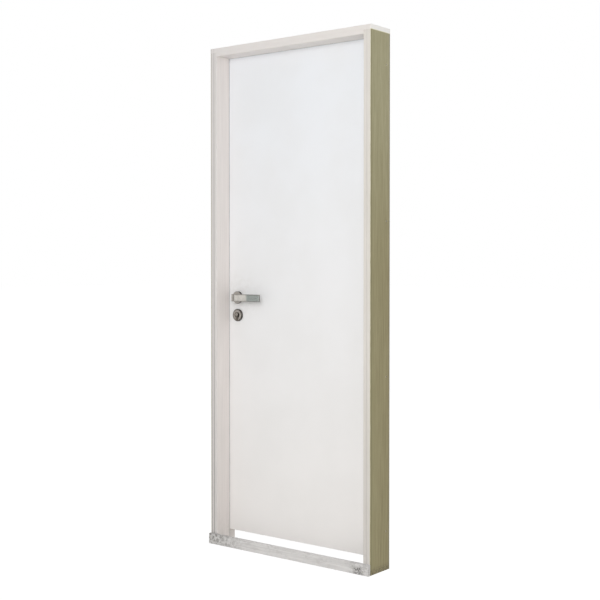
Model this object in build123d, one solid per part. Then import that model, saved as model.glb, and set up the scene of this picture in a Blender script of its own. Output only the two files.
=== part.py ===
from build123d import *
import os

# A flush wooden door leaf in a deep wooden frame, with lever handle, mortise lock and lift-off hinges.
# X runs along the door towards the hinges, Y from front to back, Z up. Millimetres.

# Frame
frame_width = 820.0
frame_height = 2090.0
frame_depth = 131.0
jamb_thickness = 33.0
head_thickness = 34.0
rebate_step = 15.0
arris = 1.5
joint_arris = 0.6
head_screw_length = 70.0
head_screw_radius = 2.25
head_screw_head = 4.5
head_screw_edges = (30.0, 90.0)

# Batten that ties the feet of the jambs
batten_height = 43.0
batten_thickness = 14.0
batten_chamfer = 1.0
nail_length = 45.0
nail_radius = 1.5
nail_head_radius = 3.2
nail_head_height = 1.0
nail_spread = 16.0

# Wall fixing holes in each jamb
fixing_low = 150.0
fixing_top_inset = 140.0
fixing_count = 4
fixing_radius = 4.0
fixing_sink_radius = 7.0
fixing_sink_depth = 5.0

# Seal in the rebate
seal_gap = 3.0
seal_clearance = 0.3
seal_lip_width = 8.0
seal_lip_round = 1.0
seal_stem_width = 2.6
seal_stem_length = 6.0
seal_stem_inset = 3.0
kerf_width = 3.0
kerf_depth = 7.0
seal_foot_height = 2.0

# Leaf
leaf_thickness = 48.0
side_gap = 3.0
top_gap = 3.0
floor_gap = 48.0
skin_thickness = 3.0
stile_width = 40.0
rail_height = 60.0
leaf_round = 1.0
lock_block_width = 62.0
lock_block_height = 360.0
tube_radius = 11.0
tube_wall = 11.0

# Handle set
handle_height = 1042.0
backset = 60.0
lever_reach = 52.0
lever_length = 158.0
lever_height = 30.0
lever_thickness = 9.0
lever_bend = 12.0
lever_edge = 1.2
lever_tip_round = 3.0
neck_radius = 10.0
neck_height = 20.0
flare_length = 18.0
flare_slope = 0.1
neck_chamfer = 2.0
neck_overlap = 1.5
neck_clearance = 1.0
spindle_size = 8.0
spindle_clearance = 0.05
spindle_depth = 20.0
spindle_end_gap = 1.0
running_clearance = 0.05
rose_radius = 26.0
rose_height = 9.0
rose_wall = 1.2
rose_round = 2.0
rose_bore_clearance = 0.4
rose_base_height = 7.0
rose_screw_pitch = 38.0
rose_screw_radius = 2.0
rose_screw_head = 3.5
rose_screw_room = 1.0
grub_radius = 2.0
grub_offset = 3.0

# Mortise lock
case_height_above = 48.0
case_height_below = 117.0
case_depth = 85.0
case_thickness = 15.0
case_wall = 1.5
case_post_radius = 4.0
case_post_inset = 8.0
case_screw_radius = 1.5
case_screw_head = 2.8
case_screw_length = 10.0
forend_width = 20.0
forend_thickness = 3.0
forend_above = 83.0
forend_below = 152.0
forend_screw_inset = 11.0
forend_screw_length = 32.0
forend_screw_radius = 2.0
forend_screw_head = 4.0
bolt_thickness = 12.0
bolt_height = 24.0
bolt_clearance = 0.3
hub_radius = 9.0
bearing_radius = 10.0
arm_radius = 15.5
arm_width = 6.0
arm_thickness = 6.0

# Latch bolt
latch_rise = 22.0
latch_throw = 11.0
latch_body_length = 26.0
latch_nose = 3.0
latch_rod_radius = 3.0
tail_height = 11.0
hook_gap = 0.3
hook_width = 6.0
hook_bottom = 9.6
lug_offset = 17.0
lug_thickness = 2.0
lug_height = 20.0
tail_gap = 2.0
spring_wire = 0.5
spring_radius = 4.6
spring_turns = 6
spring_gap = 0.3

# Dead bolt
deadbolt_drop = 38.0
deadbolt_throw = 14.0
deadbolt_body_length = 20.0
deadbolt_tail_thickness = 5.0
deadbolt_tail_height = 20.0
notch_front = 6.5
notch_back = 20.0
prong_front = 8.0
prong_back = 6.0
prong_foot = 12.5
guide_pin_radius = 2.5
guide_pin_offset = 24.0
guide_clearance = 0.3

# Key cylinder
key_drop = 72.0
cylinder_radius = 8.5
cylinder_foot_width = 10.0
cylinder_foot = 24.5
cylinder_stand_out = 4.0
cylinder_clearance = 0.4
plug_radius = 6.0
plug_proud = 0.5
keyway_width = 1.8
keyway_height = 8.5
keyway_depth = 12.0
cam_width = 9.6
cam_slot = 10.4
cam_ring_radius = 7.5
cam_radius = 15.3
cam_arm_width = 6.0
bridge_top = 16.0
cylinder_screw_radius = 2.5
cylinder_screw_head = 4.5
cylinder_screw_end = 1.0
key_rose_drop = 3.0
key_rose_height = 8.0
key_rose_bevel = 2.2
key_rose_ring = 12.5
key_rose_ring_depth = 0.8
key_rose_wall = 1.5
key_base_height = 5.5

# Strike plate
strike_width = 24.0
strike_thickness = 2.0
strike_above = 58.0
strike_below = 76.0
strike_screw_inset = 9.0
strike_screw_length = 14.0
strike_screw_radius = 1.75
strike_screw_head = 3.5
strike_corner = 4.0
pocket_depth = 14.0
latch_hole_clearance = 1.5
bolt_hole_clearance = 2.0

# Hinges
hinge_count = 3
hinge_bottom_inset = 260.0
hinge_top_inset = 200.0
hinge_plate_height = 100.0
hinge_plate_width = 30.0
hinge_plate_thickness = 2.5
knuckle_height = 40.0
knuckle_radius = 7.0
knuckle_gap = 2.0
washer_height = 1.7
pin_radius = 4.0
pin_offset = 8.0
pin_end_gap = 3.0
pin_chamfer = 1.0
pin_bore_end = 2.0
hinge_screw_radius = 2.0
hinge_screw_head = 4.2
frame_screw_length = 16.0
leaf_screw_length = 30.0
hinge_screw_edges = (9.0, 21.0)
hinge_screw_rows = (14.0, 38.0)

# How far a cutting shape runs past what it cuts
overreach = 1.0

# Places along Y, with the origin in the middle of the whole depth
overall_depth = batten_thickness + frame_depth + lever_reach
front_y = batten_thickness - overall_depth / 2
back_y = front_y + frame_depth
leaf_front = back_y - leaf_thickness
leaf_middle = back_y - leaf_thickness / 2
stop_y = leaf_front - seal_gap

# Places along X and Z
jamb_back = jamb_thickness - rebate_step
head_back = head_thickness - rebate_step
jamb_x = frame_width / 2
stop_x = jamb_x - jamb_thickness
rebate_x = jamb_x - jamb_back
jamb_top = frame_height - head_back
soffit_z = frame_height - head_thickness
leaf_x = rebate_x - side_gap
leaf_top = jamb_top - top_gap
core_front = leaf_front + skin_thickness
core_back = back_y - skin_thickness
spindle_x = backset - leaf_x
key_z = handle_height - key_drop
key_rose_z = key_z - key_rose_drop
latch_z = handle_height + latch_rise
deadbolt_z = handle_height - deadbolt_drop
case_front_x = forend_thickness - leaf_x
case_back_x = case_front_x + case_depth
case_top = handle_height + case_height_above
case_bottom = handle_height - case_height_below
hinge_x = (leaf_x + rebate_x) / 2
hinge_y = back_y + pin_offset
lug_x = spindle_x - lug_offset
latch_back_x = latch_body_length - leaf_x - latch_throw


def block(xs, ys, zs):
    size = (xs[1] - xs[0], ys[1] - ys[0], zs[1] - zs[0])
    return Pos(xs[0], ys[0], zs[0]) * Box(*size, align=(Align.MIN, Align.MIN, Align.MIN))


def along_x(sketch, low, high):
    return extrude(Plane.YZ.offset(low) * sketch, high - low)


def along_y(sketch, low, high):
    return extrude(Plane.XZ.offset(-high) * sketch, high - low)


def along_z(sketch, low, high):
    return extrude(Plane.XY.offset(low) * sketch, high - low)


def rod_x(y, z, radius, low, high):
    return along_x(Pos(y, z) * Circle(radius), low, high)


def rod_y(x, z, radius, low, high):
    return along_y(Pos(x, z) * Circle(radius), low, high)


def rod_z(x, y, radius, low, high):
    return along_z(Pos(x, y) * Circle(radius), low, high)


def screw(radius, head_radius, length):
    """A countersunk screw, its head's face at the origin and its point down."""
    sink = head_radius - radius
    head = Pos(0, 0, -sink / 2) * Cone(radius, head_radius, sink)
    return head + rod_z(0, 0, radius, -length, -sink)


POINT_PLUS_X = Rotation(0, -90, 0)
POINT_MINUS_X = Rotation(0, 90, 0)
POINT_PLUS_Y = Rotation(90, 0, 0)
POINT_MINUS_Y = Rotation(-90, 0, 0)


def many(solids):
    return Compound(children=list(solids))


def cut(body, tools):
    for tool in tools:
        body = body - tool
    return body


def mirror_leaf(solid):
    """The same piece on the other face of the leaf."""
    return mirror(solid, about=Plane.XZ.offset(-leaf_middle))


# Frame
def eased(section, joint):
    """A board's section with rounded arrises, and a finer one where it meets its neighbour at the front."""
    section = fillet(section.vertices().sort_by_distance(joint)[:1], joint_arris)
    return fillet(section.vertices().sort_by_distance(joint)[2:], arris)


def jamb_blank(side):
    section = Pos(side * (rebate_x + jamb_x) / 2, (front_y + back_y) / 2) * Rectangle(jamb_back, frame_depth)
    return along_z(eased(section, (side * rebate_x, front_y)), 0, jamb_top)


def stop_section(width):
    """A planted stop seen along it: X is the distance in from the opening, Y the place along Y."""
    section = Pos(width / 2, (front_y + stop_y) / 2) * Rectangle(width, stop_y - front_y)
    section = fillet(section.vertices().sort_by(Axis.X)[:2], arris)
    corner = section.vertices().sort_by_distance((width, front_y))[:1]
    return fillet(corner, joint_arris)


def seal_kerf():
    """The slot for the seal's stem, seen along it: X is the distance in from the opening."""
    middle = seal_stem_inset + seal_stem_width / 2
    return Pos(middle, -kerf_depth / 2) * Rectangle(kerf_width, kerf_depth)


def seal_section():
    lip_height = seal_gap - seal_clearance
    lip = Pos(seal_lip_width / 2, lip_height / 2) * Rectangle(seal_lip_width, lip_height)
    lip = fillet([v for v in lip.vertices() if v.Y > lip_height / 2], seal_lip_round)
    middle = seal_stem_inset + seal_stem_width / 2
    stem = Pos(middle, -seal_stem_length / 2) * Rectangle(seal_stem_width, seal_stem_length)
    return lip + stem


def at_jamb(side, solid):
    """Carries a run along Z to the shoulder of one jamb."""
    turned = solid if side > 0 else mirror(solid, about=Plane.YZ)
    return Pos(side * stop_x, stop_y, 0) * turned


def at_head(solid):
    """Carries a run along Z to the shoulder of the head."""
    return Pos(0, stop_y, soffit_z) * (Rotation(0, -90, 0) * solid)


def head_screws():
    places = [(s * (jamb_x - jamb_back / 2), front_y + e) for s in (-1, 1) for e in head_screw_edges]
    one = screw(head_screw_radius, head_screw_head, head_screw_length)
    return [Pos(x, y, frame_height) * one for x, y in places]


def nails():
    """One nail into each foot of the lining and one into each foot of the stop."""
    made = []
    face = front_y - batten_thickness
    for side in (-1, 1):
        for x, step in ((jamb_x - jamb_back / 2, 1), (stop_x + rebate_step / 2, -1)):
            z = batten_height / 2 + step * nail_spread / 2
            head = rod_y(side * x, z, nail_head_radius, face, face + nail_head_height)
            made.append(head + rod_y(side * x, z, nail_radius, face + nail_head_height, face + nail_length))
    return made


def fixing_holes(side):
    made = []
    pitch = (frame_height - fixing_top_inset - fixing_low) / (fixing_count - 1)
    for i in range(fixing_count):
        z = fixing_low + i * pitch
        inner, outer = sorted((side * rebate_x, side * jamb_x))
        made.append(rod_x(leaf_middle, z, fixing_radius, inner, outer))
        sink = side * (rebate_x + fixing_sink_depth)
        low, high = sorted((side * rebate_x, sink))
        made.append(rod_x(leaf_middle, z, fixing_sink_radius, low, high))
    return made


def head_board():
    section = Pos((front_y + back_y) / 2, (jamb_top + frame_height) / 2) * Rectangle(frame_depth, head_back)
    return along_x(eased(section, (front_y, jamb_top)), -jamb_x, jamb_x)


def side_stop(side):
    run = along_z(stop_section(rebate_step), 0, jamb_top)
    run = Pos(stop_x, 0, 0) * run
    return run if side > 0 else mirror(run, about=Plane.YZ)


def head_stop():
    run = along_z(stop_section(rebate_step), -stop_x, stop_x)
    return Pos(0, 0, soffit_z) * (Rotation(0, -90, 0) * run)


def batten():
    plank = block((-jamb_x, jamb_x), (front_y - batten_thickness, front_y), (0, batten_height))
    front = [e for e in plank.edges().filter_by(Axis.X) if e.center().Y < front_y - batten_thickness / 2]
    return chamfer(front, batten_chamfer)


def bolt_windows(extra_latch, extra_bolt):
    """The outlines of the latch and the dead bolt, seen along X, with some room around each."""
    latch = Rectangle(bolt_thickness + 2 * extra_latch, bolt_height + 2 * extra_latch)
    dead = Rectangle(bolt_thickness + 2 * extra_bolt, bolt_height + 2 * extra_bolt)
    return Pos(leaf_middle, latch_z) * latch, Pos(leaf_middle, deadbolt_z) * dead


def strike_parts():
    z_low = handle_height - strike_below
    z_high = handle_height + strike_above
    ys = (leaf_middle - strike_width / 2, leaf_middle + strike_width / 2)
    plate = block((-rebate_x - strike_thickness, -rebate_x), ys, (z_low, z_high))
    plate = fillet(plate.edges().filter_by(Axis.X), strike_corner)
    windows = bolt_windows(latch_hole_clearance, bolt_hole_clearance)
    pockets = [along_x(w, -rebate_x - pocket_depth, -rebate_x) for w in windows]
    screws = []
    for z in (z_low + strike_screw_inset, z_high - strike_screw_inset):
        one = POINT_MINUS_X * screw(strike_screw_radius, strike_screw_head, strike_screw_length)
        screws.append(Pos(-rebate_x, leaf_middle, z) * one)
    return cut(plate, pockets + screws), screws, [plate] + pockets + screws


# Hinges
def hinge_heights():
    low = floor_gap + hinge_bottom_inset
    high = leaf_top - hinge_top_inset
    return [low + i * (high - low) / (hinge_count - 1) for i in range(hinge_count)]


def hinge_plate(x_low, z):
    ys = (back_y - hinge_plate_width, back_y)
    zs = (z - hinge_plate_height / 2, z + hinge_plate_height / 2)
    return block((x_low, x_low + hinge_plate_thickness), ys, zs)


def knuckle(x_low, z_low):
    """A hinge knuckle with the strap that joins it to its plate."""
    z_high = z_low + knuckle_height
    strap = block((x_low, x_low + hinge_plate_thickness), (back_y - arris, hinge_y), (z_low, z_high))
    return strap + rod_z(hinge_x, hinge_y, knuckle_radius, z_low, z_high)


def hinge_screws(z, x, point, length):
    made = []
    for sign in (-1, 1):
        for edge, row in zip(hinge_screw_edges, hinge_screw_rows):
            one = point * screw(hinge_screw_radius, hinge_screw_head, length)
            made.append(Pos(x, back_y - edge, z + sign * row) * one)
    return made


def hinge_pin(z):
    low = z - knuckle_gap / 2 - knuckle_height
    high = z + knuckle_gap / 2 + knuckle_height - pin_end_gap
    return chamfer(rod_z(hinge_x, hinge_y, pin_radius, low, high).edges().group_by(Axis.Z)[-1], pin_chamfer)


def frame_hinge(z):
    low = z - knuckle_gap / 2 - knuckle_height
    bore = rod_z(hinge_x, hinge_y, pin_radius, low, low + knuckle_height)
    return hinge_plate(rebate_x, z) + knuckle(rebate_x, low) - bore


def leaf_hinge(z):
    x = leaf_x - hinge_plate_thickness
    low = z + knuckle_gap / 2
    depth = knuckle_height - pin_bore_end
    bore = rod_z(hinge_x, hinge_y, pin_radius + running_clearance, low, low + depth)
    return hinge_plate(x, z) + knuckle(x, low) - bore


def hinge_washer(z):
    low = z - knuckle_gap / 2
    ring = rod_z(hinge_x, hinge_y, knuckle_radius, low, low + washer_height)
    return ring - rod_z(hinge_x, hinge_y, pin_radius, low, low + washer_height)


# Leaf
def leaf_skin(low):
    panel = block((-leaf_x, leaf_x), (low, low + skin_thickness), (floor_gap, leaf_top))
    outer = min if low < leaf_middle else max
    face = outer(panel.faces().filter_by(Axis.Y), key=lambda f: f.center().Y)
    return fillet(face.edges(), leaf_round)


def leaf_core():
    """A tubular board between the stiles and rails, let out for the lock block."""
    half = leaf_x - stile_width
    zs = (floor_gap + rail_height, leaf_top - rail_height)
    board = block((-half, half), (core_front, core_back), zs)
    pitch = 2 * tube_radius + tube_wall
    count = int((2 * half - tube_wall) // pitch)
    for i in range(count):
        x = (i - (count - 1) / 2) * pitch
        board -= rod_z(x, leaf_middle, tube_radius, *zs)
    return board - lock_block_blank()


def lock_block_blank():
    xs = (stile_width - leaf_x, stile_width - leaf_x + lock_block_width)
    zs = (handle_height - lock_block_height / 2, handle_height + lock_block_height / 2)
    return block(xs, (core_front, core_back), zs)


def forend_blank():
    height = forend_above + forend_below
    middle = handle_height + (forend_above - forend_below) / 2
    shape = Pos(leaf_middle, middle) * (Rotation(0, 0, 90) * SlotOverall(height, forend_width))
    return along_x(shape, -leaf_x, case_front_x)


def case_blank():
    half = case_thickness / 2
    ys = (leaf_middle - half, leaf_middle + half)
    return block((case_front_x, case_back_x), ys, (case_bottom, case_top))


def through_screws(height, base_height):
    """The pair of screws that draws the front and back rose together."""
    made = []
    low = leaf_front - base_height
    high = back_y + base_height
    for side in (-1, 1):
        x = spindle_x + side * rose_screw_pitch / 2
        one = Pos(x, low, height) * (POINT_PLUS_Y * screw(rose_screw_radius, rose_screw_head, high - low))
        made.append(one)
    return made


def pear(room):
    """The key cylinder's outline seen along Y, round above and narrow below."""
    radius = cylinder_radius + room
    half = cylinder_foot_width / 2 + room
    foot = half - cylinder_foot - room
    shape = Circle(radius) + Pos(0, foot / 2) * Rectangle(2 * half, -foot) + Pos(0, foot) * Circle(half)
    return Pos(spindle_x, key_z) * shape


def lock_passages(low, high):
    """What the handle and the key need cut through the leaf."""
    spindle_way = rod_y(spindle_x, handle_height, neck_radius - neck_clearance, low, high)
    return [spindle_way, along_y(pear(cylinder_clearance), low, high)]


# Lock
def lock_case():
    half = case_thickness / 2
    low = leaf_middle - half
    cover_low = leaf_middle + half - case_wall
    shell = block((case_front_x, case_back_x), (low, cover_low), (case_bottom, case_top))
    hollow_x = (case_front_x, case_back_x - case_wall)
    hollow_z = (case_bottom + case_wall, case_top - case_wall)
    shell -= block(hollow_x, (low + case_wall, cover_low), hollow_z)
    lug_z = (latch_z - lug_height / 2, latch_z + lug_height / 2)
    lug = block((lug_x, lug_x + lug_thickness), (low + case_wall, cover_low), lug_z)
    lug -= rod_x(leaf_middle, latch_z, latch_rod_radius + running_clearance, lug_x, lug_x + lug_thickness)
    posts = [rod_y(x, z, case_post_radius, low + case_wall, cover_low) for x, z in case_post_places()]
    pin = rod_y(spindle_x - guide_pin_offset, deadbolt_z, guide_pin_radius, low + case_wall, cover_low)
    shell = shell + lug + pin
    for post in posts:
        shell += post
    return cut(shell, case_holes(low, cover_low) + cover_screws())


def case_post_places():
    back = case_back_x - case_post_inset
    low = case_bottom + case_post_inset
    return [(back, case_top - case_post_inset), (back, low), (case_front_x + case_post_inset, low)]


def cover_screws():
    made = []
    high = leaf_middle + case_thickness / 2
    one = POINT_MINUS_Y * screw(case_screw_radius, case_screw_head, case_screw_length)
    for x, z in case_post_places():
        made.append(Pos(x, high, z) * one)
    return made


def case_holes(low, high):
    bearing = rod_y(spindle_x, handle_height, bearing_radius + running_clearance, low, high)
    holes = [bearing, along_y(pear(cylinder_clearance), low, high)]
    for z in (handle_height, key_z):
        for side in (-1, 1):
            x = spindle_x + side * rose_screw_pitch / 2
            holes.append(rod_y(x, z, rose_screw_radius + rose_screw_room, low, high))
    return holes


def lock_cover():
    high = leaf_middle + case_thickness / 2
    plate = block((case_front_x, case_back_x), (high - case_wall, high), (case_bottom, case_top))
    return cut(plate, case_holes(high - case_wall, high) + cover_screws())


def forend_screws():
    high = handle_height + forend_above - forend_screw_inset
    low = handle_height - forend_below + forend_screw_inset
    one = POINT_PLUS_X * screw(forend_screw_radius, forend_screw_head, forend_screw_length)
    return [Pos(-leaf_x, leaf_middle, z) * one for z in (low, high)]


def cylinder_screw():
    length = backset + cylinder_foot_width / 2 - cylinder_screw_end
    z = key_z - (bridge_top + cylinder_foot) / 2
    one = POINT_PLUS_X * screw(cylinder_screw_radius, cylinder_screw_head, length)
    return Pos(-leaf_x, leaf_middle, z) * one


def forend():
    windows = [along_x(w, -leaf_x, case_front_x) for w in bolt_windows(bolt_clearance, bolt_clearance)]
    return cut(forend_blank(), windows + forend_screws() + [cylinder_screw()])


def latch_bolt():
    """The sprung bolt: a head bevelled towards the stop, a rod through its guide and a hooked tail."""
    half = bolt_thickness / 2
    tip_x = -leaf_x - latch_throw
    nose = Polyline(
        (tip_x, leaf_middle + half),
        (tip_x, leaf_middle + half - latch_nose),
        (-leaf_x, leaf_middle - half),
        (latch_back_x, leaf_middle - half),
        (latch_back_x, leaf_middle + half),
        close=True,
    )
    head = along_z(make_face(nose), latch_z - bolt_height / 2, latch_z + bolt_height / 2)
    tail_x = lug_x + lug_thickness + tail_gap
    rod = rod_x(leaf_middle, latch_z, latch_rod_radius, latch_back_x, tail_x)
    hook_x = spindle_x + arm_width / 2 + hook_gap
    ys = (leaf_middle - arm_thickness / 2, leaf_middle + arm_thickness / 2)
    tail = block((tail_x, hook_x + hook_width), ys, (latch_z - tail_height / 2, latch_z + tail_height / 2))
    hook = block((hook_x, hook_x + hook_width), ys, (handle_height + hook_bottom, latch_z))
    return head + rod + tail + hook


def latch_spring():
    end = spring_wire + spring_gap
    length = lug_x - latch_back_x - 2 * end
    path = Helix(pitch=length / spring_turns, height=length, radius=spring_radius)
    start = path @ 0
    wire = sweep(Plane(origin=start, z_dir=path % 0) * Circle(spring_wire), path=path)
    return Pos(latch_back_x + end, leaf_middle, latch_z) * (Rotation(0, 90, 0) * wire)


def follower():
    """The square-holed hub that the spindle turns, with the arm that draws the latch."""
    half = case_thickness / 2
    inner = half - case_wall
    hub = rod_y(spindle_x, handle_height, hub_radius, leaf_middle - inner, leaf_middle + inner)
    hub += rod_y(spindle_x, handle_height, bearing_radius, leaf_middle - half, leaf_middle - inner)
    hub += rod_y(spindle_x, handle_height, bearing_radius, leaf_middle + inner, leaf_middle + half)
    xs = (spindle_x - arm_width / 2, spindle_x + arm_width / 2)
    ys = (leaf_middle - arm_thickness / 2, leaf_middle + arm_thickness / 2)
    hub += block(xs, ys, (handle_height, handle_height + arm_radius))
    return hub - square_way(leaf_middle - half, leaf_middle + half)


def square_way(low, high):
    side = spindle_size + 2 * spindle_clearance
    return along_y(Pos(spindle_x, handle_height) * Rectangle(side, side), low, high)


def deadbolt():
    """The key-driven bolt: a head behind the forend and a tail notched around the cam's path."""
    half = bolt_thickness / 2
    head_z = (deadbolt_z - bolt_height / 2, deadbolt_z + bolt_height / 2)
    head_end = deadbolt_body_length - leaf_x
    body = block((-leaf_x, head_end), (leaf_middle - half, leaf_middle + half), head_z)
    ys = (leaf_middle - deadbolt_tail_thickness / 2, leaf_middle + deadbolt_tail_thickness / 2)
    tail_z = (deadbolt_z - deadbolt_tail_height / 2, deadbolt_z + deadbolt_tail_height / 2)
    body += block((head_end, spindle_x + notch_back + prong_back), ys, tail_z)
    foot_z = (key_z + prong_foot, deadbolt_z)
    body += block((spindle_x - notch_front - prong_front, spindle_x - notch_front), ys, foot_z)
    body += block((spindle_x + notch_back, spindle_x + notch_back + prong_back), ys, foot_z)
    reach = guide_pin_radius + guide_clearance
    pin_x = spindle_x - guide_pin_offset
    slot = Pos(pin_x + deadbolt_throw / 2, deadbolt_z) * SlotOverall(deadbolt_throw + 2 * reach, 2 * reach)
    return body - along_y(slot, *ys)


# Key cylinder
def cylinder_ends():
    stand_out = key_rose_height + cylinder_stand_out
    return leaf_front - stand_out, back_y + stand_out


def cylinder_body():
    low, high = cylinder_ends()
    body = along_y(pear(0), low, high)
    slot = (leaf_middle - cam_slot / 2, leaf_middle + cam_slot / 2)
    clear = cylinder_radius + overreach
    body -= block((spindle_x - clear, spindle_x + clear), slot, (key_z - bridge_top, key_z + clear))
    body -= rod_y(spindle_x, key_z, plug_radius + running_clearance, low, high)
    return body - cylinder_screw()


def key_plug(low, high, mouth):
    """A plug with its keyway open at the mouth's end."""
    body = rod_y(spindle_x, key_z, plug_radius, low, high)
    inner = mouth + keyway_depth if mouth < leaf_middle else mouth - keyway_depth
    ys = sorted((mouth, inner))
    half = keyway_width / 2
    top = key_z + keyway_height / 2
    return body - block((spindle_x - half, spindle_x + half), ys, (top - keyway_height, top))


def key_cam():
    ys = (leaf_middle - cam_width / 2, leaf_middle + cam_width / 2)
    cam = rod_y(spindle_x, key_z, cam_ring_radius, *ys)
    half = cam_arm_width / 2
    arm = block((spindle_x - half, spindle_x + half), ys, (key_z - cam_radius - overreach, key_z))
    return cam + (arm & rod_y(spindle_x, key_z, cam_radius, *ys))


# Roses and levers
def rose_base(screws):
    low = leaf_front - rose_base_height
    radius = rose_radius - rose_wall - running_clearance
    base = rod_y(spindle_x, handle_height, radius, low, leaf_front)
    bore = rod_y(spindle_x, handle_height, neck_radius + running_clearance, low, leaf_front)
    return cut(base - bore, screws)


def rose_cover():
    low = leaf_front - rose_height
    cup = rod_y(spindle_x, handle_height, rose_radius, low, leaf_front)
    cup = fillet(cup.edges().group_by(Axis.Y)[0], rose_round)
    cup -= rod_y(spindle_x, handle_height, rose_radius - rose_wall, low + rose_wall, leaf_front)
    return cup - rod_y(spindle_x, handle_height, neck_radius + rose_bore_clearance, low, leaf_front)


def key_rose_base(screws):
    low = leaf_front - key_base_height
    radius = rose_radius - key_rose_wall - running_clearance
    base = rod_y(spindle_x, key_rose_z, radius, low, leaf_front)
    return cut(base, screws + [along_y(pear(cylinder_clearance), low, leaf_front)])


def key_rose_cover():
    low = leaf_front - key_rose_height
    cup = rod_y(spindle_x, key_rose_z, rose_radius, low, leaf_front)
    cup = chamfer(cup.edges().group_by(Axis.Y)[0], key_rose_bevel)
    base_high = leaf_front - key_base_height
    cup -= rod_y(spindle_x, key_rose_z, rose_radius - key_rose_wall, base_high, leaf_front)
    cup -= rod_y(spindle_x, key_z, key_rose_ring, low, low + key_rose_ring_depth)
    return cup - along_y(pear(cylinder_clearance), low, leaf_front)


def lever():
    """The front lever: a round neck that flares into a flat bar bent towards the hinges."""
    half = lever_thickness / 2
    outer = lever_bend + lever_thickness
    face = leaf_front - lever_reach
    back = face + lever_thickness
    left = spindle_x - half
    right = spindle_x + half
    tip = spindle_x + lever_length
    root = leaf_front - neck_height + neck_overlap
    edge = Polyline((left + outer, face), (tip, face), (tip, back), (right + lever_bend, back))
    inner = CenterArc((right + lever_bend, back + lever_bend), lever_bend, 180, 90)
    rise = Polyline((right, back + lever_bend), (right, root), (left, root), (left, face + outer))
    bend = CenterArc((left + outer, face + outer), outer, 180, 90)
    plan = make_face(Curve() + [edge, inner, rise, bend])
    bar = along_z(plan, handle_height - lever_height, handle_height + lever_height)
    bar &= lever_side_view(face, root)
    upright = [e for e in bar.edges().filter_by(Axis.Z) if e.center().X > tip - lever_tip_round]
    bar = fillet(upright, lever_tip_round)
    bar = fillet([e for e in bar.edges().filter_by(Axis.X) if e.length > lever_length / 2], lever_edge)
    neck_low = leaf_front - neck_height
    neck = rod_y(spindle_x, handle_height, neck_radius, neck_low, leaf_front - neck_clearance)
    neck = chamfer(neck.edges().group_by(Axis.Y)[0], neck_chamfer)
    way = square_way(leaf_front - neck_clearance - spindle_depth, leaf_front)
    return bar + neck - way - grub_screw()


def lever_side_view(face, root):
    """How tall the lever is from its neck to its face, seen along X."""
    slim = neck_radius - neck_chamfer
    tall = lever_height / 2
    end = root - flare_length
    top = Spline((root, slim), (end, tall), tangents=((-1, flare_slope), (-1, 0)))
    low = Spline((root, -slim), (end, -tall), tangents=((-1, -flare_slope), (-1, 0)))
    sides = Polyline((end, tall), (face, tall), (face, -tall), (end, -tall))
    close = Line((root, slim), (root, -slim))
    shape = make_face(Curve() + [top, sides, low, close])
    reach = lever_length + 2 * lever_thickness
    return along_x(Pos(0, handle_height) * shape, spindle_x - reach, spindle_x + reach)


def grub_screw():
    y = leaf_front - rose_height - grub_offset
    side = spindle_size / 2 + spindle_clearance
    return rod_z(spindle_x, y, grub_radius, handle_height - neck_radius, handle_height - side)


def spindle():
    reach = neck_clearance + spindle_depth - spindle_end_gap
    low, high = leaf_front - reach, back_y + reach
    return along_y(Pos(spindle_x, handle_height) * Rectangle(spindle_size, spindle_size), low, high)


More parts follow.
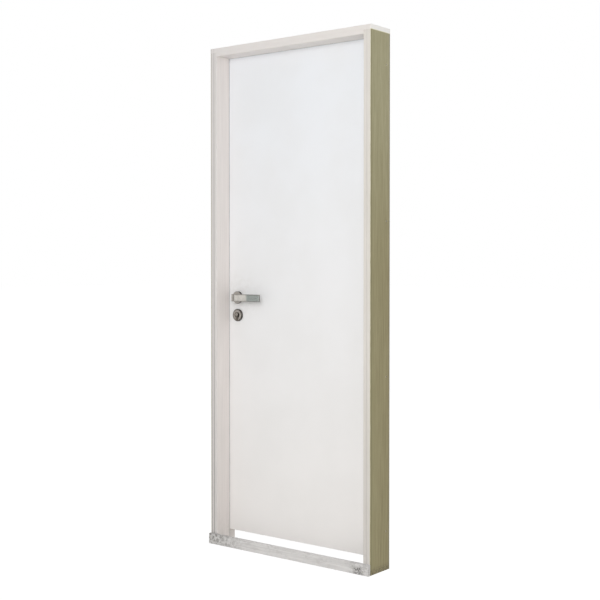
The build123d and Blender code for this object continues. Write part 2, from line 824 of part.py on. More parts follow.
def build():
    heights = hinge_heights()
    nodes = {}

    plate, plate_screws, strike_cuts = strike_parts()
    frame_screws = [s for z in heights for s in hinge_screws(z, rebate_x, POINT_PLUS_X, frame_screw_length)]
    leaf_screws = [s for z in heights for s in hinge_screws(z, leaf_x, POINT_MINUS_X, leaf_screw_length)]
    frame_plates = [hinge_plate(rebate_x, z) for z in heights]
    leaf_plates = [hinge_plate(leaf_x - hinge_plate_thickness, z) for z in heights]

    shared = head_screws() + nails()
    nodes["jamb_lock_side"] = cut(jamb_blank(-1), fixing_holes(-1) + strike_cuts + shared)
    hinge_cuts = fixing_holes(1) + frame_plates + frame_screws
    nodes["jamb_hinge_side"] = cut(jamb_blank(1), hinge_cuts + shared)
    nodes["frame_head"] = cut(head_board(), head_screws())
    kerf = along_z(seal_kerf(), 0, jamb_top)
    nodes["stop_lock_side"] = cut(side_stop(-1), [at_jamb(-1, kerf)] + nails())
    nodes["stop_hinge_side"] = cut(side_stop(1), [at_jamb(1, kerf)] + nails())
    nodes["stop_head"] = head_stop() - at_head(along_z(seal_kerf(), -stop_x, stop_x))
    nodes["head_screws"] = many(head_screws())
    nodes["foot_batten"] = cut(batten(), nails())
    nodes["batten_nails"] = many(nails())
    side_seal = along_z(seal_section(), seal_foot_height, soffit_z + seal_lip_width)
    nodes["seal_lock_side"] = at_jamb(-1, side_seal)
    nodes["seal_hinge_side"] = at_jamb(1, side_seal)
    nodes["seal_head"] = at_head(along_z(seal_section(), -stop_x, stop_x))
    nodes["strike_plate"] = plate
    nodes["strike_screws"] = many(plate_screws)

    for name, z in zip(("bottom", "middle", "top"), heights):
        nodes[f"hinge_frame_half_{name}"] = cut(frame_hinge(z), frame_screws)
        nodes[f"hinge_leaf_half_{name}"] = cut(leaf_hinge(z), leaf_screws)
    nodes["hinge_pins"] = many(hinge_pin(z) for z in heights)
    nodes["hinge_washers"] = many(hinge_washer(z) for z in heights)
    nodes["hinge_screws_frame"] = many(frame_screws)
    nodes["hinge_screws_leaf"] = many(leaf_screws)

    rose_screws = through_screws(handle_height, rose_base_height)
    key_screws = through_screws(key_z, key_base_height)
    all_screws = rose_screws + key_screws
    edge_cuts = [forend_blank(), case_blank()] + forend_screws()
    nodes["leaf_skin_front"] = cut(leaf_skin(leaf_front), lock_passages(leaf_front, core_front) + all_screws)
    back_cuts = lock_passages(core_back, back_y) + all_screws + leaf_plates
    nodes["leaf_skin_back"] = cut(leaf_skin(core_back), back_cuts)
    core_ys = (core_front, core_back)
    passages = lock_passages(*core_ys) + all_screws
    stile = block((-leaf_x, stile_width - leaf_x), core_ys, (floor_gap, leaf_top))
    nodes["stile_lock_side"] = cut(stile, edge_cuts + passages + [cylinder_screw()])
    stile = block((leaf_x - stile_width, leaf_x), core_ys, (floor_gap, leaf_top))
    nodes["stile_hinge_side"] = cut(stile, leaf_plates + leaf_screws)
    inner = leaf_x - stile_width
    nodes["rail_top"] = block((-inner, inner), core_ys, (leaf_top - rail_height, leaf_top))
    nodes["rail_bottom"] = block((-inner, inner), core_ys, (floor_gap, floor_gap + rail_height))
    nodes["lock_block"] = cut(lock_block_blank(), edge_cuts + passages)
    nodes["leaf_core"] = leaf_core()

    nodes["lock_case"] = lock_case()
    nodes["lock_cover"] = lock_cover()
    nodes["lock_cover_screws"] = many(cover_screws())
    nodes["lock_forend"] = forend()
    nodes["forend_screws"] = many(forend_screws())
    nodes["follower"] = follower()
    nodes["latch_bolt"] = latch_bolt()
    nodes["latch_spring"] = latch_spring()
    nodes["deadbolt"] = deadbolt()

    low, high = cylinder_ends()
    cam_low, cam_high = leaf_middle - cam_width / 2, leaf_middle + cam_width / 2
    nodes["cylinder_body"] = cylinder_body()
    nodes["cylinder_screw"] = cylinder_screw()
    nodes["key_plug_front"] = key_plug(low - plug_proud, cam_low, low - plug_proud)
    nodes["key_plug_back"] = key_plug(cam_high, high + plug_proud, high + plug_proud)
    nodes["key_cam"] = key_cam()

    nodes["rose_base_front"] = rose_base(rose_screws)
    nodes["rose_base_back"] = cut(mirror_leaf(rose_base([])), rose_screws)
    nodes["rose_cover_front"] = rose_cover()
    nodes["rose_cover_back"] = mirror_leaf(rose_cover())
    nodes["rose_screws"] = many(rose_screws)
    nodes["key_rose_base_front"] = key_rose_base(key_screws)
    nodes["key_rose_base_back"] = cut(mirror_leaf(key_rose_base([])), key_screws)
    nodes["key_rose_cover_front"] = key_rose_cover()
    nodes["key_rose_cover_back"] = mirror_leaf(key_rose_cover())
    nodes["key_rose_screws"] = many(key_screws)
    nodes["lever_front"] = lever()
    nodes["lever_back"] = mirror_leaf(lever())
    nodes["grub_screws"] = many([grub_screw(), mirror_leaf(grub_screw())])
    nodes["spindle"] = spindle()
    return nodes


os.makedirs("parts", exist_ok=True)
for name, shape in build().items():
    export_step(shape, f"parts/{name}.step")
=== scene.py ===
import bpy
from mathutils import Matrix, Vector

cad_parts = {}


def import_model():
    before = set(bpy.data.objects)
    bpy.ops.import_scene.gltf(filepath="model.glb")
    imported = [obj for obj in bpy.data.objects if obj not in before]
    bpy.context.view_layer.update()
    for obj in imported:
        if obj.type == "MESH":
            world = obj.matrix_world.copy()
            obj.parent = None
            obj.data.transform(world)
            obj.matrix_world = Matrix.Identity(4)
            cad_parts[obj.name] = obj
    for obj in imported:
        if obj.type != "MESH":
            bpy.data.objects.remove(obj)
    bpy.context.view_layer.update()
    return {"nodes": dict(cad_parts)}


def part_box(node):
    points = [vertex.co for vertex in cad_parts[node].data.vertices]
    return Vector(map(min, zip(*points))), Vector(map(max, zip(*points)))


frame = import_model()

# The flush door with its frame, dressed over the CAD frame. Metres, Z up, X towards the hinges.

# Camera, where the photograph was taken from. Upright edges are parallel there, as a lens shift of -0.07 makes
# them. Here the shift is smaller and the camera tilts down by one degree, so that every view shows the whole
# door.
EYE = Vector((2.8148, -3.5626, 1.1933))
LOOK = Vector((-0.6194, 0.7850, -0.0181))
LENS = 67.0
LENS_SHIFT = -0.03

# Lamps: a key lamp above and left of the camera, a broad one to its right and one behind the door
WHITE = (1.0, 1.0, 1.0)
WARM = (1.0, 0.995, 0.985)
MIDDLE = (0.0, 0.0, 1.1)
LAMPS = {
    "key": {"place": (2.1, -3.7, 2.05), "aim": (0.0, 0.0, 1.65), "size": 1.6, "power": 79.0, "tint": WHITE},
    "side": {"place": (4.3, -1.5, 1.7), "aim": MIDDLE, "size": 2.2, "power": 15.0, "tint": WARM},
    "back": {"place": (-0.2, 4.6, 2.2), "aim": MIDDLE, "size": 2.4, "power": 60.0, "tint": WHITE},
}

# Sky: soft light, warm below and cool above, which turns between two heights on a sphere of radius 1
SKY_LEVEL = 0.53
SKY_WARM = (1.0, 0.975, 0.95, 1.0)
SKY_COOL = (0.96, 0.985, 1.0, 1.0)
SKY_WARM_UP_TO = -0.3
SKY_COOL_FROM = 0.9

# Floor: a nearly white glow and a dim grey to the camera, so that a shadow shows faintly, and pale to the light
FLOOR_HALF = 40.0
FLOOR_GLOW = 0.94
FLOOR_SEEN = (0.13, 0.13, 0.13, 1.0)
FLOOR_PALE = (238, 235, 230)

# Places that the finishes follow, taken from the CAD nodes
FRAME_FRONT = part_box("jamb_hinge_side")[0][1]
FRAME_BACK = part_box("jamb_hinge_side")[1][1]
FRAME_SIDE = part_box("jamb_hinge_side")[1][0]
FRAME_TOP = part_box("frame_head")[1][2]
HEAD_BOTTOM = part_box("frame_head")[0][2]
STOP_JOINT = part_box("stop_hinge_side")[1][0]
LEAF_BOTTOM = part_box("leaf_skin_front")[0][2]
LEAF_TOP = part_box("leaf_skin_front")[1][2]
SPINDLE = sum(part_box("spindle"), Vector()) / 2
KEY_AXIS = sum(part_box("key_rose_cover_front"), Vector()) / 2
ROSE_RADIUS = (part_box("key_rose_cover_front")[1][0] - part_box("key_rose_cover_front")[0][0]) / 2
LEVER_HALF = (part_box("lever_front")[1][2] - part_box("lever_front")[0][2]) / 2

# Places of stains and lines, as the photograph shows them
SEAM_WIDTH = 0.004
KNOT_X, KNOT_REACH, KNOT_TOP = 0.362, 0.030, 0.034
DIRT_LEFT_FROM, DIRT_RIGHT_FROM = -0.16, 0.30
SKIRT_HEIGHT = 0.80
SOIL_HEIGHT = 0.16
FOOT_HEIGHT = 0.034

# Nodes whose finish isn't the plain one of their slot
OWN_FINISH = {
    "frame_head": "frame_paint_head",
    "stop_head": "frame_paint_head",
    "rose_cover_front": "rose_steel",
    "rose_cover_back": "rose_steel",
    "key_rose_cover_front": "key_rose_steel",
    "key_rose_cover_back": "key_rose_steel",
    "key_plug_front": "plug_nickel",
    "key_plug_back": "plug_nickel",
    "lock_forend": "plain_steel",
    "strike_plate": "plain_steel",
}

# Brushed metals: the darker and the paler tone, the axis of the scratches, least and most roughness
BRUSHED = {
    "plain_steel": ((168, 168, 165), (204, 204, 200), "Z", (0.28, 0.42)),
    "hinge_steel": ((168, 168, 165), (204, 204, 200), "Z", (0.30, 0.45)),
    "lock_steel": ((156, 158, 158), (198, 200, 202), "Z", (0.30, 0.50)),
    "cylinder_nickel": ((104, 99, 93), (138, 132, 125), "Z", (0.28, 0.42)),
    "plug_nickel": ((158, 153, 146), (198, 193, 185), "Z", (0.28, 0.42)),
    "washer_brass": ((186, 152, 84), (222, 190, 120), "X", (0.28, 0.42)),
    "screw_steel": ((160, 158, 150), (202, 200, 192), "X", (0.28, 0.42)),
}


def rgb(red, green, blue):
    """Linear colour from 8-bit display values."""
    def linear(v):
        v = v / 255
        return v / 12.92 if v <= 0.04045 else ((v + 0.055) / 1.055) ** 2.4
    return (linear(red), linear(green), linear(blue), 1.0)


def along(axis, times):
    """Stretch of a noise that is drawn out along one axis."""
    return [times if name == axis else 1.0 for name in "XYZ"]


class Tree:
    """The node tree of a material or a world, with short ways to build in it."""

    def __init__(self, owner):
        owner.use_nodes = True
        self.tree = owner.node_tree

    def add(self, kind, settings=None, **inputs):
        node = self.tree.nodes.new(kind)
        for key, value in (settings or {}).items():
            setattr(node, key, value)
        for key, value in inputs.items():
            self.feed(node.inputs[key.replace("_", " ")], value)
        return node

    def feed(self, socket, value):
        """Link a socket to another, or set its constant value."""
        if isinstance(value, bpy.types.NodeSocket):
            self.tree.links.new(value, socket)
        else:
            socket.default_value = value

    def math(self, operation, first, second=0.0):
        node = self.add("ShaderNodeMath", {"operation": operation})
        self.feed(node.inputs[0], first)
        self.feed(node.inputs[1], second)
        return node.outputs[0]

    def times(self, first, second):
        return self.math("MULTIPLY", first, second)

    def larger(self, first, second):
        return self.math("MAXIMUM", first, second)

    def span(self, value, low, high, to_low=0.0, to_high=1.0, kind="SMOOTHSTEP"):
        """value mapped from low..high to to_low..to_high, held at both ends."""
        node = self.add("ShaderNodeMapRange", {"interpolation_type": kind, "clamp": True}, Value=value)
        for key, number in (("From Min", low), ("From Max", high), ("To Min", to_low), ("To Max", to_high)):
            self.feed(node.inputs[key], number)
        return node.outputs[0]

    def mix(self, amount, first, second):
        """first where amount is 0, second where it is 1."""
        node = self.add("ShaderNodeMix", {"data_type": "RGBA", "clamp_factor": True})
        self.feed(node.inputs[0], amount)
        self.feed(node.inputs[6], first)
        self.feed(node.inputs[7], second)
        return node.outputs[2]


class Surface(Tree):
    """A Principled material built from procedural layers, all measured in the object's own metres."""

    def __init__(self, name, roughness=0.5, metallic=0.0):
        self.material = bpy.data.materials.new(name)
        super().__init__(self.material)
        self.shader = self.tree.nodes["Principled BSDF"]
        self.shader.inputs["Roughness"].default_value = roughness
        self.shader.inputs["Metallic"].default_value = metallic
        self.place = self.add("ShaderNodeTexCoord").outputs["Object"]
        self.axes = self.add("ShaderNodeSeparateXYZ", Vector=self.place).outputs

    def noise(self, size, detail=4.0, rough=0.55, twist=0.0, stretch=(1.0, 1.0, 1.0)):
        """Noise whose features are about size metres across, drawn out by stretch along each axis."""
        scale = [1.0 / (size * s) for s in stretch]
        spot = self.add("ShaderNodeMapping", {"vector_type": "POINT"}, Vector=self.place, Scale=scale)
        settings = {"noise_dimensions": "3D"}
        node = self.add("ShaderNodeTexNoise", settings, Vector=spot.outputs[0], Scale=1.0)
        self.feed(node.inputs["Detail"], detail)
        self.feed(node.inputs["Roughness"], rough)
        self.feed(node.inputs["Distortion"], twist)
        return node.outputs["Fac"]

    def streaks(self, pattern, dark, pale, low=0.35, high=0.65):
        """A dark tone where a noise is low and a pale one where it is high."""
        return self.mix(self.span(pattern, low, high), dark, pale)

    def near(self, value, middle, reach):
        """1 where value is at middle, fading to 0 at reach from it."""
        gap = self.math("ABSOLUTE", self.math("SUBTRACT", value, middle))
        return self.span(gap, reach, reach * 0.3)

    def distance(self, spot, centre):
        node = self.add("ShaderNodeVectorMath", {"operation": "DISTANCE"})
        self.feed(node.inputs[0], spot)
        self.feed(node.inputs[1], centre)
        return node.outputs["Value"]

    def edges(self, width):
        """1 where a sharp edge lies within width metres, 0 on the flat."""
        round_normal = self.add("ShaderNodeBevel", {"samples": 4}, Radius=width).outputs[0]
        flat_normal = self.add("ShaderNodeNewGeometry").outputs["True Normal"]
        dot = self.add("ShaderNodeVectorMath", {"operation": "DOT_PRODUCT"})
        self.feed(dot.inputs[0], round_normal)
        self.feed(dot.inputs[1], flat_normal)
        return self.span(dot.outputs["Value"], 0.995, 0.80)

    def chipped(self, width, patch, low, high):
        """1 in the patches of a sharp edge where its paint or grey skin has worn off."""
        return self.times(self.edges(width), self.span(self.noise(patch, 4.0, 0.6), low, high))

    def rubbed(self, width, least):
        """1 where the edge of a metal piece is rubbed bright, and at least least along all of the edge."""
        return self.times(self.edges(width), self.span(self.noise(0.006, 3.0, 0.6), 0.4, 0.6, least, 1.0))

    def color(self, value):
        self.feed(self.shader.inputs["Base Color"], value)

    def rough(self, value):
        self.feed(self.shader.inputs["Roughness"], value)

    def bump(self, height, depth, edge_round=0.0):
        """Relief of depth metres at height 1, over normals softened by edge_round metres at the edges."""
        node = self.add("ShaderNodeBump", Strength=1.0, Distance=depth, Height=height)
        if edge_round:
            soft = self.add("ShaderNodeBevel", {"samples": 4}, Radius=edge_round)
            self.feed(node.inputs["Normal"], soft.outputs[0])
        self.feed(self.shader.inputs["Normal"], node.outputs[0])


# Paint and wood
def grain_height(s, axis, width=0.0035):
    """Long wood grain along an axis, from 0 to 1."""
    fine = s.noise(width, 5.0, 0.6, 0.3, along(axis, 60.0))
    broad = s.noise(width * 4, 3.0, 0.5, 0.6, along(axis, 26.0))
    return s.math("ADD", s.times(fine, 0.6), s.times(broad, 0.4))


def frame_paint(s, grain):
    """Off-white paint, pinker on the lock side and duller in front there, greyer towards the foot and soiled at
    it. It has a dark joint line along the planted stop and painted shade along the outer arris on the lock
    side, and is cream where its edges have chipped."""
    across = s.span(s.axes["X"], -FRAME_SIDE, FRAME_SIDE, kind="LINEAR")
    deep = s.mix(across, rgb(220, 214, 211), rgb(212, 207, 200))
    pale = s.mix(across, rgb(229, 223, 220), rgb(221, 216, 208))
    paint = s.streaks(grain, deep, pale)
    cloud = s.span(s.noise(0.35, 3.0, 0.5), 0.35, 0.65, 0.0, 0.35)
    paint = s.mix(cloud, paint, rgb(225, 220, 217))

    front = s.span(s.axes["Y"], FRAME_FRONT + 0.0030, FRAME_FRONT + 0.0012)
    dull = s.times(front, s.span(across, 0.0, 1.0, 0.35, 0.0))
    paint = s.mix(dull, paint, rgb(215, 213, 213))

    skirt = s.span(s.axes["Z"], SKIRT_HEIGHT, 0.10)
    grey = s.times(skirt, s.span(front, 0.0, 1.0, 0.08, 0.24))
    paint = s.mix(grey, paint, rgb(182, 178, 175))
    low = s.span(s.axes["Z"], SOIL_HEIGHT, 0.02)
    soil = s.times(low, s.span(s.noise(0.02, 5.0, 0.65), 0.42, 0.62))
    paint = s.mix(s.times(soil, 0.12), paint, rgb(168, 162, 152))

    seam = s.near(s.math("ABSOLUTE", s.axes["X"]), STOP_JOINT, SEAM_WIDTH)
    # painted shade: a dark band along the lock side's outer arris on the front, where the arris throws shade
    outer = s.span(s.axes["X"], -FRAME_SIDE + 0.0090, -FRAME_SIDE + 0.0060)
    lines = s.times(front, s.larger(s.times(seam, s.span(across, 0.0, 1.0, 0.8, 0.25)), outer))
    fainter_above = s.span(s.axes["Z"], FRAME_TOP, 0.3, 0.45, 1.0, "LINEAR")
    lines = s.times(lines, fainter_above)
    # darkens the joint line and the painted shade along the outer arris
    paint = s.mix(lines, paint, rgb(160, 157, 155))
    wear = s.chipped(0.0012, 0.012, 0.52, 0.60)
    return s.mix(s.times(wear, 0.45), paint, rgb(214, 206, 180))


def bare_side(s):
    """Bare olive grey wood with fine pores, paler at the top and greener towards the front. A dark line follows
    its front arris and a grey one its back arris, and its foot is speckled dark."""
    lines = s.span(s.noise(0.0024, 4.0, 0.6, 0.2, along("Z", 70.0)), 0.34, 0.66)
    upper = s.mix(lines, rgb(158, 152, 121), rgb(184, 179, 149))
    lower = s.mix(lines, rgb(135, 125, 92), rgb(160, 151, 117))
    olive = s.mix(s.span(s.axes["Z"], 1.1, 2.05), lower, upper)
    broad = s.span(s.noise(0.016, 2.0, 0.5, 0.5, along("Z", 24.0)), 0.36, 0.64, 0.0, 0.22)
    olive = s.mix(broad, olive, rgb(132, 124, 88))
    ahead = s.span(s.axes["Y"], FRAME_FRONT, FRAME_BACK, 0.30, 0.0, "LINEAR")
    olive = s.mix(ahead, olive, rgb(164, 161, 124))
    pores = s.span(s.noise(0.0016, 3.0, 0.7, 0.0, along("Z", 40.0)), 0.58, 0.68)
    olive = s.mix(s.times(pores, 0.35), olive, rgb(112, 104, 78))

    front_line = s.near(s.axes["Y"], FRAME_FRONT + 0.006, 0.005)
    olive = s.mix(s.times(front_line, 0.40), olive, rgb(108, 104, 76))
    back_line = s.near(s.axes["Y"], FRAME_BACK - 0.003, 0.006)
    olive = s.mix(s.times(back_line, 0.45), olive, rgb(128, 130, 122))
    low = s.span(s.axes["Z"], FOOT_HEIGHT, 0.004)
    foot = s.times(low, s.span(s.noise(0.006, 4.0, 0.7), 0.42, 0.58))
    return s.mix(s.times(foot, 0.75), olive, rgb(74, 68, 60))


def painted_side(name):
    """The jambs and side stops: painted, cream beside the wall, and bare on the side that meets it."""
    s = Surface(name, 0.42)
    grain = grain_height(s, "Z")
    ragged = s.span(s.noise(0.02, 3.0, 0.6, 0.0, along("Z", 6.0)), 0.3, 0.7, -0.0005, 0.0005)
    reach = s.math("ADD", s.math("ABSOLUTE", s.axes["X"]), ragged)
    cream_from, cream_to = FRAME_SIDE - 0.0045, FRAME_SIDE - 0.0025
    paint_ends, wood_starts = FRAME_SIDE - 0.0014, FRAME_SIDE - 0.0010
    cream = s.span(reach, cream_from, cream_to, 0.0, 0.8)
    bare = s.span(reach, paint_ends, wood_starts)
    paint = s.mix(cream, frame_paint(s, grain), rgb(222, 216, 198))
    s.color(s.mix(bare, paint, bare_side(s)))
    s.rough(s.span(bare, 0.0, 1.0, 0.42, 0.75))
    s.bump(grain, 0.00018, 0.0008)
    return s.material


def painted_head(name):
    """The head and its stop: painted, with pale ends that turn cream along their lower edge."""
    s = Surface(name, 0.42)
    grain = grain_height(s, "X")
    paint = s.mix(0.55, frame_paint(s, grain), rgb(235, 230, 228))
    side = s.span(s.math("ABSOLUTE", s.axes["X"]), FRAME_SIDE - 0.0008, FRAME_SIDE - 0.0003)
    under = s.span(s.axes["Z"], HEAD_BOTTOM + 0.0035, HEAD_BOTTOM + 0.0015)
    ends = s.mix(under, rgb(247, 245, 242), rgb(234, 231, 204))
    s.color(s.mix(side, paint, ends))
    s.rough(s.span(grain, 0.0, 1.0, 0.38, 0.50))
    s.bump(grain, 0.00018, 0.0008)
    return s.material


def rough_batten(name):
    """Rough sawn wood, thinly painted and greyed, dirtier towards both ends and stained dark round a knot."""
    s = Surface(name, 0.75)
    grain = grain_height(s, "X", 0.003)
    saw = s.noise(0.0022, 2.0, 0.5, 0.0, along("Z", 18.0))
    blotch = s.noise(0.022, 5.0, 0.7, 0.4, [1.8, 1.0, 0.8])
    spots = s.span(s.noise(0.012, 4.0, 0.72, 0.3), 0.44, 0.60)
    tone = s.streaks(grain, rgb(209, 207, 206), rgb(232, 230, 229), 0.34, 0.66)
    tone = s.mix(s.span(blotch, 0.50, 0.66, 0.0, 0.5), tone, rgb(192, 189, 188))

    left = s.span(s.axes["X"], DIRT_LEFT_FROM, -0.40)
    right = s.span(s.axes["X"], DIRT_RIGHT_FROM, 0.34, 0.0, 0.4)
    dirt = s.times(s.larger(left, right), s.math("ADD", s.times(spots, 0.66), 0.16))
    tone = s.mix(dirt, tone, rgb(110, 106, 102))
    knot = s.times(s.near(s.axes["X"], KNOT_X, KNOT_REACH), s.span(s.axes["Z"], KNOT_TOP, 0.022))
    stain = s.span(s.noise(0.007, 4.0, 0.7, 0.6), 0.42, 0.56)
    tone = s.mix(s.times(knot, s.times(stain, 0.85)), tone, rgb(62, 60, 58))
    wear = s.chipped(0.0015, 0.010, 0.46, 0.56)
    s.color(s.mix(s.times(wear, 0.6), tone, rgb(150, 143, 132)))

    s.rough(s.span(blotch, 0.3, 0.7, 0.62, 0.88))
    height = s.math("ADD", s.times(grain, 0.6), s.times(saw, 0.4))
    s.bump(s.math("ADD", height, s.times(spots, -0.3)), 0.0006, 0.0010)
    return s.material


def leaf_paint(name):
    """Smooth white satin paint with the roller's faint texture, cooler above and warmer below as painted light,
    soiled by hands near the lever and chipped at the edges."""
    s = Surface(name, 0.36)
    # painted light: cooler towards the top and warmer towards the bottom, as from a cool light above and a warm
    # bounce below
    high = s.span(s.axes["Z"], LEAF_BOTTOM, LEAF_TOP, 0.0, 1.0, "LINEAR")
    tone = s.mix(high, rgb(244, 241, 239), rgb(240, 243, 248))
    cloud = s.noise(0.25, 3.0, 0.5)
    tone = s.mix(s.span(cloud, 0.35, 0.65, 0.0, 0.18), tone, rgb(229, 228, 226))
    by_lever = s.span(s.distance(s.place, tuple(SPINDLE)), 0.16, 0.03)
    touch = s.times(by_lever, s.span(s.noise(0.03, 4.0, 0.6), 0.40, 0.62))
    tone = s.mix(s.times(touch, 0.12), tone, rgb(190, 184, 174))
    wear = s.chipped(0.0012, 0.010, 0.55, 0.62)
    s.color(s.mix(s.times(wear, 0.4), tone, rgb(196, 186, 166)))
    peel = s.noise(0.0035, 3.0, 0.55, 0.0, along("Z", 1.6))
    s.rough(s.span(s.noise(0.08, 3.0, 0.5), 0.3, 0.7, 0.32, 0.42))
    s.bump(peel, 0.00008, 0.0006)
    return s.material


def raw_wood(name):
    """Bare softwood and board inside the leaf, with darker chips."""
    s = Surface(name, 0.7)
    grain = grain_height(s, "Z", 0.0025)
    tone = s.streaks(grain, rgb(186, 152, 108), rgb(222, 196, 154), 0.34, 0.66)
    chips = s.span(s.noise(0.004, 3.0, 0.6), 0.45, 0.6)
    s.color(s.mix(s.times(chips, 0.25), tone, rgb(168, 132, 92)))
    s.rough(s.span(grain, 0.3, 0.7, 0.62, 0.8))
    s.bump(grain, 0.0003, 0.0005)
    return s.material


def seal_foam(name):
    """Grey foam of the seals, with fine cells."""
    s = Surface(name, 0.8)
    cells = s.noise(0.0012, 3.0, 0.6)
    cloud = s.noise(0.05, 3.0, 0.5)
    tone = s.streaks(cloud, rgb(178, 178, 178), rgb(194, 194, 194))
    s.color(s.mix(s.span(cells, 0.5, 0.7, 0.0, 0.3), tone, rgb(150, 148, 146)))
    s.rough(s.span(cells, 0.3, 0.7, 0.7, 0.9))
    s.bump(cells, 0.0001)
    return s.material


def moulded_plastic(name):
    """Dark plastic of the bases under the roses."""
    s = Surface(name, 0.55)
    speck = s.noise(0.0015, 3.0, 0.6)
    s.color(s.streaks(speck, rgb(62, 62, 64), rgb(84, 84, 86), 0.4, 0.65))
    s.rough(s.span(speck, 0.3, 0.7, 0.48, 0.66))
    s.bump(speck, 0.00006, 0.0004)
    return s.material


# Metal
def finish_metal(s, hairs, cloud, tone, rough, sheen, edge_round):
    """Colour, roughness, sheen along the scratches, and the scratches' relief."""
    s.color(tone)
    s.rough(s.span(s.math("ADD", hairs, s.times(cloud, 0.5)), 0.5, 1.0, *rough))
    s.feed(s.shader.inputs["Anisotropic"], sheen)
    s.bump(hairs, 0.00003, edge_round)
    return s.material


def brushed(name, dark, pale, axis, rough):
    """Brushed metal with its scratches along an axis, rubbed bright along the edges."""
    s = Surface(name, rough[0], 1.0)
    hairs = s.noise(0.00035, 3.0, 0.6, 0.0, along(axis, 80.0))
    cloud = s.noise(0.03, 4.0, 0.55)
    tone = s.streaks(hairs, rgb(*dark), rgb(*pale))
    tone = s.mix(s.span(cloud, 0.4, 0.65, 0.0, 0.25), tone, rgb(*dark))
    tone = s.mix(s.times(s.rubbed(0.0008, 0.4), 0.5), tone, rgb(*pale))
    return finish_metal(s, hairs, cloud, tone, rough, 0.4, 0.0005)


def finish_satin(s, hairs, cloud, tone):
    """The handle set's satin steel over a tone of its own, rubbed bright at the edges."""
    tone = s.mix(s.times(s.rubbed(0.0010, 0.3), 0.25), tone, rgb(212, 208, 200))
    return finish_metal(s, hairs, cloud, tone, (0.26, 0.42), 0.5, 0.0008)


def hairlines(s):
    """Fine scratches along X and soft clouds, the two layers of the handle set's satin steel."""
    return s.noise(0.0004, 3.0, 0.6, 0.0, along("X", 70.0)), s.noise(0.02, 4.0, 0.55)


def turned_away(s, low, high):
    """1 on faces that look sideways, 0 on those that look to the front or back."""
    normal = s.add("ShaderNodeTexCoord").outputs["Normal"]
    facing = s.add("ShaderNodeSeparateXYZ", Vector=normal).outputs["Y"]
    return s.span(s.math("ABSOLUTE", facing), high, low)


def handle_steel(name):
    """Satin steel of the lever, warm and pale near its bend and cooler and darker towards the tip as a painted
    reflection. It has a painted dark reflection in the bend and painted shade along its rims and on its sides."""
    s = Surface(name, 0.3, 1.0)
    hairs, cloud = hairlines(s)
    # painted reflection: the tip cooler and darker than the part by the bend
    cool_from, cool_to = SPINDLE.x + 0.080, SPINDLE.x + 0.098
    cooler = s.span(s.axes["X"], cool_from, cool_to)
    warm = s.streaks(hairs, rgb(190, 186, 180), rgb(219, 215, 208))
    cool = s.streaks(hairs, rgb(131, 136, 132), rgb(166, 171, 167))
    tone = s.mix(cooler, warm, cool)
    tone = s.mix(s.span(cloud, 0.45, 0.65, 0.0, 0.25), tone, rgb(132, 130, 125))
    height = s.math("ABSOLUTE", s.math("SUBTRACT", s.axes["Z"], SPINDLE.z))
    # painted shade along the lever's upper and lower rims
    rims = s.span(height, LEVER_HALF - 0.0045, LEVER_HALF - 0.0015)
    # painted dark reflection across the bend
    bend = s.near(s.axes["X"], SPINDLE.x + 0.018, 0.007)
    dark = s.larger(s.times(rims, 0.55), s.times(bend, 0.65))
    # painted shade on the faces that look sideways
    dark = s.larger(dark, s.times(turned_away(s, 0.25, 0.75), 0.75))
    return finish_satin(s, hairs, cloud, s.mix(dark, tone, rgb(96, 92, 87)))


def rose_steel(name):
    """The lever's rose: a satin face inside a rim painted dark as shade, near black up and to the right as a
    painted dark reflection.
    """
    s = Surface(name, 0.3, 1.0)
    hairs, cloud = hairlines(s)
    face = s.streaks(hairs, rgb(160, 156, 151), rgb(190, 186, 180))
    # painted dark reflection: the rim turns near black up and to the right of the spindle
    slant = s.math("ADD", s.axes["X"], s.axes["Z"])
    middle = SPINDLE.x + SPINDLE.z
    rim = s.mix(s.span(slant, middle, middle + 0.024), rgb(92, 88, 84), rgb(30, 28, 27))
    # painted shade: the faces that look sideways take the dark rim tone
    return finish_satin(s, hairs, cloud, s.mix(turned_away(s, 0.55, 0.97), face, rim))


def key_rose_steel(name):
    """The key rose: a rim painted dark as shade, a paler ring inside it and a middle round the cylinder painted
    dark as shade.
    """
    s = Surface(name, 0.3, 1.0)
    hairs, cloud = hairlines(s)
    flat = s.add("ShaderNodeVectorMath", {"operation": "MULTIPLY"})
    s.feed(flat.inputs[0], s.place)
    s.feed(flat.inputs[1], (1.0, 0.0, 1.0))
    away = s.distance(flat.outputs[0], (KEY_AXIS.x, 0.0, KEY_AXIS.z))
    ring = s.streaks(hairs, rgb(154, 149, 144), rgb(190, 185, 179))
    # painted shade on the outer rim
    tone = s.mix(s.span(away, ROSE_RADIUS * 0.80, ROSE_RADIUS * 0.90), ring, rgb(92, 88, 84))
    # painted shade in the middle round the cylinder
    tone = s.mix(s.span(away, ROSE_RADIUS * 0.52, ROSE_RADIUS * 0.46), tone, rgb(74, 70, 66))
    # painted shade on the faces that look sideways
    return finish_satin(s, hairs, cloud, s.mix(turned_away(s, 0.55, 0.97), tone, rgb(70, 66, 62)))


# Dressing
MAKERS = {
    "frame_paint": painted_side,
    "frame_paint_head": painted_head,
    "batten_wood": rough_batten,
    "seal": seal_foam,
    "leaf_paint": leaf_paint,
    "inner_wood": raw_wood,
    "base_plastic": moulded_plastic,
    "satin_steel": handle_steel,
    "rose_steel": rose_steel,
    "key_rose_steel": key_rose_steel,
}


def finishes():
    """One material for each slot of the record and for each finish of a node's own."""
    made = {name: make(name) for name, make in MAKERS.items()}
    made.update({name: brushed(name, *look) for name, look in BRUSHED.items()})
    return made


def dress(nodes, materials):
    """Give each CAD node the finish of its own, or else the one of its slot."""
    for name, node in nodes.items():
        for place in node.material_slots:
            slot = place.material.name.split(".")[0]
            place.material = materials[OWN_FINISH.get(name, slot)]


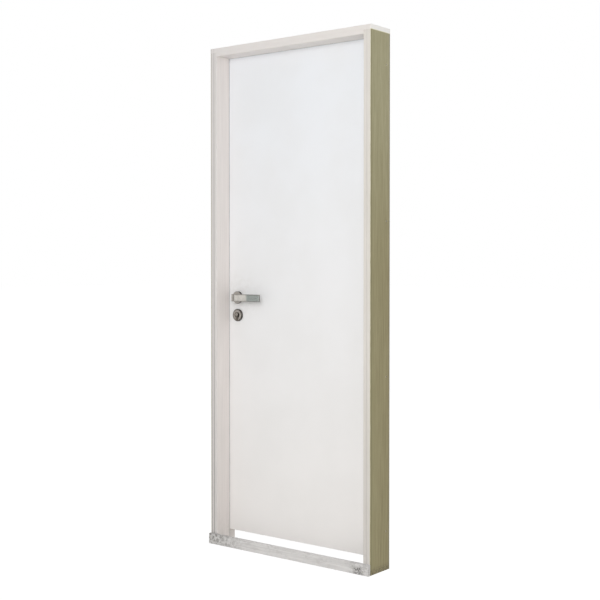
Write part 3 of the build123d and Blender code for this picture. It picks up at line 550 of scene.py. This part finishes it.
# Stage
def seen_directly(t):
    """1 for camera, mirror and glass rays, 0 for the rays that only carry light."""
    rays = t.add("ShaderNodeLightPath").outputs
    mirrored = t.larger(rays["Is Camera Ray"], rays["Is Glossy Ray"])
    return t.larger(mirrored, rays["Is Transmission Ray"])


def floor_material():
    """Pale floor: white to the eye but for a faint shadow, plain and diffuse to everything else."""
    material = bpy.data.materials.new("floor")
    t = Tree(material)
    t.tree.nodes.clear()
    seen = seen_directly(t)
    soft = t.add("ShaderNodeBsdfDiffuse", Color=t.mix(seen, rgb(*FLOOR_PALE), FLOOR_SEEN))
    glow = t.add("ShaderNodeEmission", Strength=t.times(seen, FLOOR_GLOW))
    both = t.add("ShaderNodeAddShader")
    t.feed(both.inputs[0], soft.outputs[0])
    t.feed(both.inputs[1], glow.outputs[0])
    t.add("ShaderNodeOutputMaterial", Surface=both.outputs[0])
    return material


def floor():
    """A wide plane at the height of the door's feet."""
    mesh = bpy.data.meshes.new("floor")
    half = FLOOR_HALF
    corners = [(-half, -half, 0.0), (half, -half, 0.0), (half, half, 0.0), (-half, half, 0.0)]
    mesh.from_pydata(corners, [], [(0, 1, 2, 3)])
    mesh.materials.append(floor_material())
    plane = bpy.data.objects.new("floor", mesh)
    bpy.context.collection.objects.link(plane)


def world():
    """White where the camera looks, and a soft sky, cool above and warm below, for the light."""
    made = bpy.data.worlds.new("studio")
    bpy.context.scene.world = made
    t = Tree(made)
    t.tree.nodes.clear()
    ray = t.add("ShaderNodeTexCoord").outputs["Generated"]
    height = t.add("ShaderNodeSeparateXYZ", Vector=ray).outputs["Z"]
    cool = t.span(height, SKY_WARM_UP_TO, SKY_COOL_FROM, kind="LINEAR")
    sky = t.add("ShaderNodeBackground", Color=t.mix(cool, SKY_WARM, SKY_COOL), Strength=SKY_LEVEL)
    white = t.add("ShaderNodeBackground", Color=(*WHITE, 1.0), Strength=1.0)
    both = t.add("ShaderNodeMixShader")
    t.feed(both.inputs[0], seen_directly(t))
    t.feed(both.inputs[1], sky.outputs[0])
    t.feed(both.inputs[2], white.outputs[0])
    t.add("ShaderNodeOutputWorld", Surface=both.outputs[0])


def lamp(name, place, aim, size, power, tint):
    """A square area lamp at place that shines towards aim."""
    data = bpy.data.lights.new(name, "AREA")
    data.shape = "SQUARE"
    data.size = size
    data.energy = power
    data.color = tint
    made = bpy.data.objects.new(name, data)
    made.location = place
    made.rotation_euler = (Vector(aim) - Vector(place)).to_track_quat("-Z", "Y").to_euler()
    bpy.context.collection.objects.link(made)


def camera():
    """The camera that sees the door as the photograph does."""
    data = bpy.data.cameras.new("camera")
    data.lens = LENS
    data.shift_y = LENS_SHIFT
    made = bpy.data.objects.new("camera", data)
    made.location = EYE
    made.rotation_euler = LOOK.to_track_quat("-Z", "Y").to_euler()
    bpy.context.collection.objects.link(made)
    bpy.context.scene.camera = made


dress(frame["nodes"], finishes())
floor()
world()
for name, settings in LAMPS.items():
    lamp(name, **settings)
camera()
bpy.context.scene.view_settings.view_transform = "Standard"
